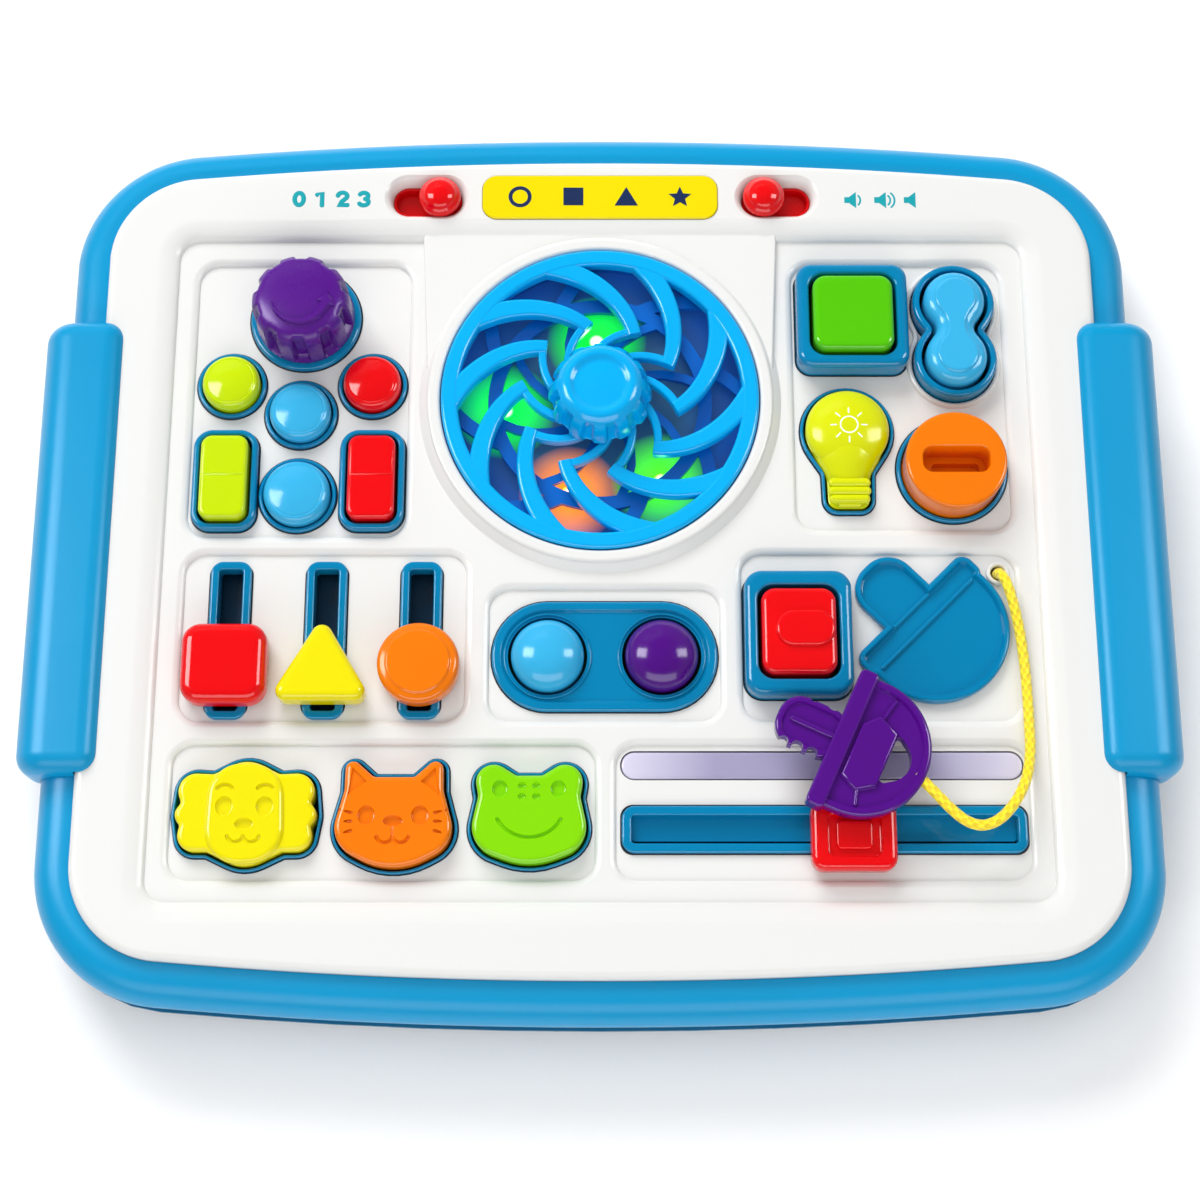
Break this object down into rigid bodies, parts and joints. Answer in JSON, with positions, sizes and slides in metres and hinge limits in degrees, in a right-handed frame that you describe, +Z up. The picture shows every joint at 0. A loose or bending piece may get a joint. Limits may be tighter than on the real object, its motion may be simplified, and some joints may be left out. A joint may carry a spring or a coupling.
{
  "type": "light-up busy board",
  "caption": "Flat toy console with side grips, a lit spinner, shaped push buttons, rockers, sliders, a turning lock and a tethered toy key.",
  "frame": {"origin": "middle of the board's footprint on the table it lies on", "axes": "+X to the right along the board's width, +Y towards the far edge with the label, +Z up out of the white face"},
  "size_m": [0.328, 0.269, 0.0468],
  "materials": {
    "white_shell": "satin moulded plastic",
    "blue_shell": "soft satin moulded plastic",
    "soft_rim": "soft overmoulded rim",
    "blue_trim": "satin moulded plastic",
    "spinner_blue": "gloss moulded plastic",
    "purple_plastic": "satin moulded plastic",
    "lime_plastic": "gloss moulded plastic",
    "red_plastic": "gloss moulded plastic",
    "light_blue_plastic": "gloss moulded plastic",
    "green_plastic": "gloss moulded plastic",
    "orange_plastic": "gloss moulded plastic",
    "yellow_plastic": "gloss moulded plastic",
    "lamp_bowl": "translucent diffuser",
    "light_lens": "frosted clear lens",
    "led_lens": "clear coloured lens",
    "cord_braid": "braided cord",
    "foot_rubber": "matte moulded rubber",
    "circuit_board": "lacquered board",
    "black_plastic": "matte moulded plastic",
    "steel": "plated steel",
    "cell_wrap": "printed wrap"
  },
  "bodies": {
    "console": {"rear_cover": "blue_shell", "front_panel": "white_shell", "rim_bumper": "soft_rim", "left_handle": "soft_rim", "right_handle": "soft_rim", "rubber_feet": "foot_rubber", "battery_door": "blue_shell", "battery_cells": "cell_wrap", "battery_contacts": "steel", "case_screws": "steel", "main_board": "circuit_board", "tact_switches": "black_plastic", "light_emitters": "led_lens", "speaker": "black_plastic", "mode_label": "yellow_plastic", "light_bowl": "lamp_bowl", "light_grille": "spinner_blue", "light_bar_lens": "light_lens", "cord_eyelet": "white_shell", "key_cord": "cord_braid", "return_springs": "steel", "round_bezels": "blue_trim", "rocker_bezels": "blue_trim", "square_bezel": "blue_trim", "peanut_bezel": "blue_trim", "bulb_bezel": "blue_trim", "switch_bezel": "blue_trim", "slider_tracks": "blue_trim", "long_track": "blue_trim", "dome_plate": "blue_trim", "key_tray": "blue_trim", "animal_bezels": "blue_trim", "switch_wells": "red_plastic"},
    "rotary_knob": {"rotary_knob": "purple_plastic"},
    "spinner": {"spinner_wheel": "spinner_blue", "spinner_knob": "spinner_blue"},
    "lime_button": {"lime_button": "lime_plastic"},
    "red_button": {"red_button": "red_plastic"},
    "upper_blue_button": {"upper_blue_button": "light_blue_plastic"},
    "lower_blue_button": {"lower_blue_button": "light_blue_plastic"},
    "lime_rocker": {"lime_rocker": "lime_plastic"},
    "red_rocker": {"red_rocker": "red_plastic"},
    "square_button": {"square_button": "green_plastic"},
    "peanut_rocker": {"peanut_rocker": "light_blue_plastic"},
    "bulb_button": {"bulb_button": "lime_plastic"},
    "lock_cylinder": {"lock_cylinder": "orange_plastic"},
    "square_slider": {"square_slider": "red_plastic"},
    "triangle_slider": {"triangle_slider": "yellow_plastic"},
    "round_slider": {"round_slider": "orange_plastic"},
    "blue_dome": {"blue_dome": "light_blue_plastic"},
    "purple_dome": {"purple_dome": "purple_plastic"},
    "switch_cap": {"switch_cap": "red_plastic"},
    "toy_key": {"toy_key": "purple_plastic"},
    "mode_slider": {"mode_slider": "red_plastic"},
    "volume_slider": {"volume_slider": "red_plastic"},
    "long_slider": {"long_slider": "red_plastic"},
    "dog_button": {"dog_button": "yellow_plastic"},
    "cat_button": {"cat_button": "orange_plastic"},
    "frog_button": {"frog_button": "green_plastic"}
  },
  "joints": [
    {"name": "knob_turn", "type": "hinge", "parent": "console", "child": "rotary_knob", "pos_m": [-0.0873, 0.0722, 0.04], "axis": [0, 0, 1], "continuous": true},
    {"name": "spinner_turn", "type": "hinge", "parent": "console", "child": "spinner", "pos_m": [0, 0.0463, 0.032], "axis": [0, 0, 1], "continuous": true},
    {"name": "lock_turn", "type": "hinge", "parent": "console", "child": "lock_cylinder", "pos_m": [0.1024, 0.0247, 0.032], "axis": [0, 0, 1], "range_deg": [-90, 0]},
    {"name": "lime_rocker_tilt", "type": "hinge", "parent": "console", "child": "lime_rocker", "pos_m": [-0.1089, 0.0213, 0.02595], "axis": [1, 0, 0], "range_deg": [-7, 7], "stiffness_Nm_per_rad": 0.1},
    {"name": "red_rocker_tilt", "type": "hinge", "parent": "console", "child": "red_rocker", "pos_m": [-0.0662, 0.0213, 0.02595], "axis": [1, 0, 0], "range_deg": [-7, 7], "stiffness_Nm_per_rad": 0.1},
    {"name": "peanut_tilt", "type": "hinge", "parent": "console", "child": "peanut_rocker", "pos_m": [0.1045, 0.0668, 0.02595], "axis": [1, 0, 0], "range_deg": [-6, 6], "stiffness_Nm_per_rad": 0.1},
    {"name": "lime_press", "type": "slide", "parent": "console", "child": "lime_button", "axis": [0, 0, -1], "range_m": [0, 0.0025], "stiffness_N_per_m": 300, "springref_m": -0.002, "deforming": ["return_springs"]},
    {"name": "red_press", "type": "slide", "parent": "console", "child": "red_button", "axis": [0, 0, -1], "range_m": [0, 0.0025], "stiffness_N_per_m": 300, "springref_m": -0.002, "deforming": ["return_springs"]},
    {"name": "upper_blue_press", "type": "slide", "parent": "console", "child": "upper_blue_button", "axis": [0, 0, -1], "range_m": [0, 0.0025], "stiffness_N_per_m": 300, "springref_m": -0.002, "deforming": ["return_springs"]},
    {"name": "lower_blue_press", "type": "slide", "parent": "console", "child": "lower_blue_button", "axis": [0, 0, -1], "range_m": [0, 0.0025], "stiffness_N_per_m": 300, "springref_m": -0.002, "deforming": ["return_springs"]},
    {"name": "square_press", "type": "slide", "parent": "console", "child": "square_button", "axis": [0, 0, -1], "range_m": [0, 0.0025], "stiffness_N_per_m": 300, "springref_m": -0.002, "deforming": ["return_springs"]},
    {"name": "bulb_press", "type": "slide", "parent": "console", "child": "bulb_button", "axis": [0, 0, -1], "range_m": [0, 0.0025], "stiffness_N_per_m": 300, "springref_m": -0.002, "deforming": ["return_springs"]},
    {"name": "blue_dome_press", "type": "slide", "parent": "console", "child": "blue_dome", "axis": [0, 0, -1], "range_m": [0, 0.0025], "stiffness_N_per_m": 300, "springref_m": -0.002, "deforming": ["return_springs"]},
    {"name": "purple_dome_press", "type": "slide", "parent": "console", "child": "purple_dome", "axis": [0, 0, -1], "range_m": [0, 0.0025], "stiffness_N_per_m": 300, "springref_m": -0.002, "deforming": ["return_springs"]},
    {"name": "switch_press", "type": "slide", "parent": "console", "child": "switch_cap", "axis": [0, 0, -1], "range_m": [0, 0.0025], "stiffness_N_per_m": 300, "springref_m": -0.002, "deforming": ["return_springs"]},
    {"name": "dog_press", "type": "slide", "parent": "console", "child": "dog_button", "axis": [0, 0, -1], "range_m": [0, 0.0025], "stiffness_N_per_m": 300, "springref_m": -0.002, "deforming": ["return_springs"]},
    {"name": "cat_press", "type": "slide", "parent": "console", "child": "cat_button", "axis": [0, 0, -1], "range_m": [0, 0.0025], "stiffness_N_per_m": 300, "springref_m": -0.002, "deforming": ["return_springs"]},
    {"name": "frog_press", "type": "slide", "parent": "console", "child": "frog_button", "axis": [0, 0, -1], "range_m": [0, 0.0025], "stiffness_N_per_m": 300, "springref_m": -0.002, "deforming": ["return_springs"]},
    {"name": "square_slide", "type": "slide", "parent": "console", "child": "square_slider", "axis": [0, 1, 0], "range_m": [-0.003, 0.0198]},
    {"name": "triangle_slide", "type": "slide", "parent": "console", "child": "triangle_slider", "axis": [0, 1, 0], "range_m": [-0.003, 0.0198]},
    {"name": "round_slide", "type": "slide", "parent": "console", "child": "round_slider", "axis": [0, 1, 0], "range_m": [-0.003, 0.0198]},
    {"name": "long_slide", "type": "slide", "parent": "console", "child": "long_slider", "axis": [1, 0, 0], "range_m": [-0.0507, 0.0359]},
    {"name": "mode_slide", "type": "slide", "parent": "console", "child": "mode_slider", "axis": [1, 0, 0], "range_m": [-0.0078, 0]},
    {"name": "volume_slide", "type": "slide", "parent": "console", "child": "volume_slider", "axis": [1, 0, 0], "range_m": [0, 0.0078]},
    {"name": "key_lift", "type": "slide", "parent": "console", "child": "toy_key", "axis": [0, 0, 1], "range_m": [0, 0.06], "deforming": ["key_cord"]}
  ]
}
